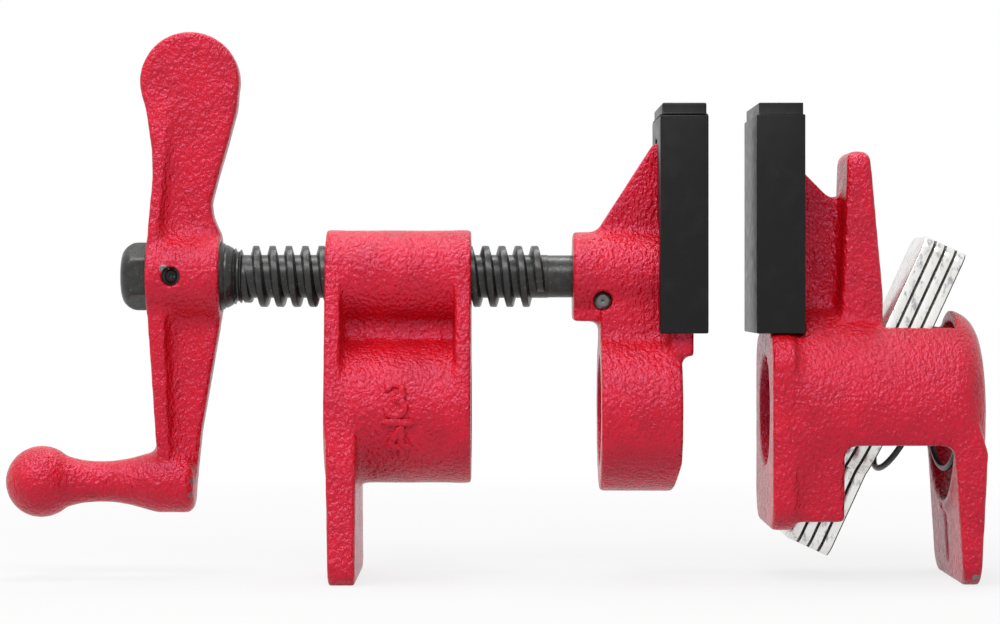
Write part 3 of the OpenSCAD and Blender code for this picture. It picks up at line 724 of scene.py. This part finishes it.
def clutch():
    """Zinc plates. Only the corners beside the gaps between them are dark: painted shade in the gaps."""
    zinc, gap_shade = bright_zinc("bright_zinc"), painted_gap_shade("painted_gap_shade")
    across = Vector((math.cos(TILT), 0, -math.sin(TILT)))
    ledge = Vector((FULCRUM[0], 0, FULCRUM[1]))
    for i in (1, 2, 3, 4):
        node = f"clutch_plate_{i}"
        obj = cad_copy(f"plate_{i}", node)
        dress(obj, zinc)
        # slot 1 paints shade on the bevels that face the gaps between the plates
        obj.data.materials.append(gap_shade)
        bevelled(obj, 0.32, 2, material=1)
        for face in obj.data.polygons:
            way = (face.center * 1000 - ledge).dot(across)
            if abs(face.normal.dot(across)) < 0.3 or way < 0.4:
                face.material_index = 0
        finish_piece(obj, "clutch", node)


def spring():
    """The wire follows the leaning plates at one end and the cup at the other."""
    per_turn, sides = 48, 14
    fit, room = 0.05, WIRE_R + 0.25
    lean = (fit + STACK_T) / math.cos(TILT) + room / math.cos(TILT)
    count = per_turn * COIL_LOOPS
    path = []
    for k in range(count + 1):
        share, a = k / count, math.pi / 2 + 2 * math.pi * k / per_turn
        share -= COIL_EASE * math.sin(2 * math.pi * share) / (2 * math.pi)
        z = COIL_R * math.sin(a)
        at_plate = FULCRUM[0] + (z - FULCRUM[1]) * math.tan(TILT) + lean
        path.append(Vector((at_plate * (1 - share) + (CUP_X - room) * share, -COIL_R * math.cos(a), z)))
    verts = []
    for k, p in enumerate(path):
        along = (path[min(k + 1, count)] - path[max(k - 1, 0)]).normalized()
        side = along.cross(Vector((1, 0, 0))).normalized()
        up = along.cross(side)
        for j in range(sides):
            a = 2 * math.pi * j / sides
            verts.append(p + WIRE_R * (math.cos(a) * side + math.sin(a) * up))
    obj = new_object("spring", verts, tube_faces(count + 1, sides))
    finish_piece(obj, None, "clutch_spring", black_oxide("spring_steel"))
    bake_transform(obj)


# ---- stage ---------------------------------------------------------------------
def seen_ray(tree):
    """1 for a ray from the camera, a glossy face or glass, which finds the background white."""
    path = tree.nodes.new("ShaderNodeLightPath")
    seen = path.outputs["Is Camera Ray"]
    for kind in ("Is Glossy Ray", "Is Transmission Ray"):
        either = tree.nodes.new("ShaderNodeMath")
        either.operation = "MAXIMUM"
        tree.links.new(seen, either.inputs[0])
        tree.links.new(path.outputs[kind], either.inputs[1])
        seen = either.outputs["Value"]
    return seen


def floor_under():
    """A pale floor that keeps the shadow. Away from the clamp it turns to the plain white of the world."""
    reach = 6.0
    corners = [(-reach, -reach, 0), (reach, -reach, 0), (reach, reach, 0), (-reach, reach, 0)]
    mesh = bpy.data.meshes.new("floor")
    mesh.from_pydata(corners, [], [(0, 1, 2, 3)])
    floor = bpy.data.objects.new("floor", mesh)
    floor.location.z = cad_box[0][2] - mm(0.05)
    bpy.context.scene.collection.objects.link(floor)
    n = Nodes("pale_floor")
    n.set(Base_Color=(0.60, 0.60, 0.60), Roughness=0.9, Specular_IOR_Level=0.1)
    away = n.add("ShaderNodeVectorMath", operation="LENGTH")
    n.join(n.place, away.inputs[0])
    white_share = n.band(away.outputs["Value"], mm(150), mm(420), 0.80, 1.0)
    glow = n.add("ShaderNodeEmission")
    mix = n.add("ShaderNodeMixShader")
    n.join(n.math("MULTIPLY", seen_ray(n.tree), white_share), mix.inputs["Fac"])
    n.join(n.shader.outputs["BSDF"], mix.inputs[1])
    n.join(glow.outputs["Emission"], mix.inputs[2])
    output = [x for x in n.tree.nodes if x.type == "OUTPUT_MATERIAL"][0]
    n.join(mix.outputs["Shader"], output.inputs["Surface"])
    floor.data.materials.append(n.material)


def world_around():
    """White where it is seen, and a low even light for everything else."""
    world = bpy.data.worlds.new("studio")
    bpy.context.scene.world = world
    world.use_nodes = True
    tree = world.node_tree
    light = tree.nodes["Background"]
    light.inputs["Color"].default_value = (1, 1, 1, 1)
    light.inputs["Strength"].default_value = 0.27
    white = tree.nodes.new("ShaderNodeBackground")
    white.inputs["Color"].default_value = (1, 1, 1, 1)
    white.inputs["Strength"].default_value = 1
    pick = tree.nodes.new("ShaderNodeMixShader")
    tree.links.new(seen_ray(tree), pick.inputs["Fac"])
    tree.links.new(light.outputs["Background"], pick.inputs[1])
    tree.links.new(white.outputs["Background"], pick.inputs[2])
    tree.links.new(pick.outputs["Shader"], tree.nodes["World Output"].inputs["Surface"])


def lamp(name, place, size, watts):
    """A lamp that faces the clamp. Its place and size are in metres."""
    data = bpy.data.lights.new(name, "AREA")
    data.shape = "RECTANGLE"
    data.size, data.size_y = size
    data.energy = watts
    obj = bpy.data.objects.new(name, data)
    obj.location = place
    obj.rotation_euler = (Vector((0.02, 0, 0.01)) - Vector(place)).to_track_quat("-Z", "Y").to_euler()
    bpy.context.scene.collection.objects.link(obj)


def camera():
    """Level view from the side. The frame's middle lies a little right of and below the view axis."""
    frame_mm, away, sensor = 258.6, 760.0, 36.0
    data = bpy.data.cameras.new("camera")
    data.sensor_width = sensor
    data.lens = sensor * away / frame_mm
    data.shift_x, data.shift_y = 0.005, -0.024
    data.clip_start, data.clip_end = 0.01, 20
    obj = bpy.data.objects.new("camera", data)
    obj.location = (mm(6.1), mm(-away), mm(31.5))
    obj.rotation_euler = (math.radians(90), 0, 0)
    bpy.context.scene.collection.objects.link(obj)
    bpy.context.scene.camera = obj


camera()
floor_under()
world_around()
lamp("softbox", (-0.22, -0.62, 0.70), (1.1, 0.34), 8.8)
lamp("top", (-0.08, 0.12, 0.80), (0.9, 0.26), 5.2)
head()
spindle()
crank()
turned_pin("pin_crank", CRANK_PIN_X, SCREW_Z, 11.2 - 2.2, "screw", "crank_pin", 0.5)
sliding_jaw()
turned_pin("pin_jaw", *JAW_PIN, 9.15, "front_jaw", "jaw_retaining_pin", 3)
pad("pad_front", "front_jaw_pad", "front_jaw")
tail_casting()
pad("pad_rear", "rear_jaw_pad", "tail")
clutch()
spring()

bpy.context.scene.view_settings.view_transform = "Standard"
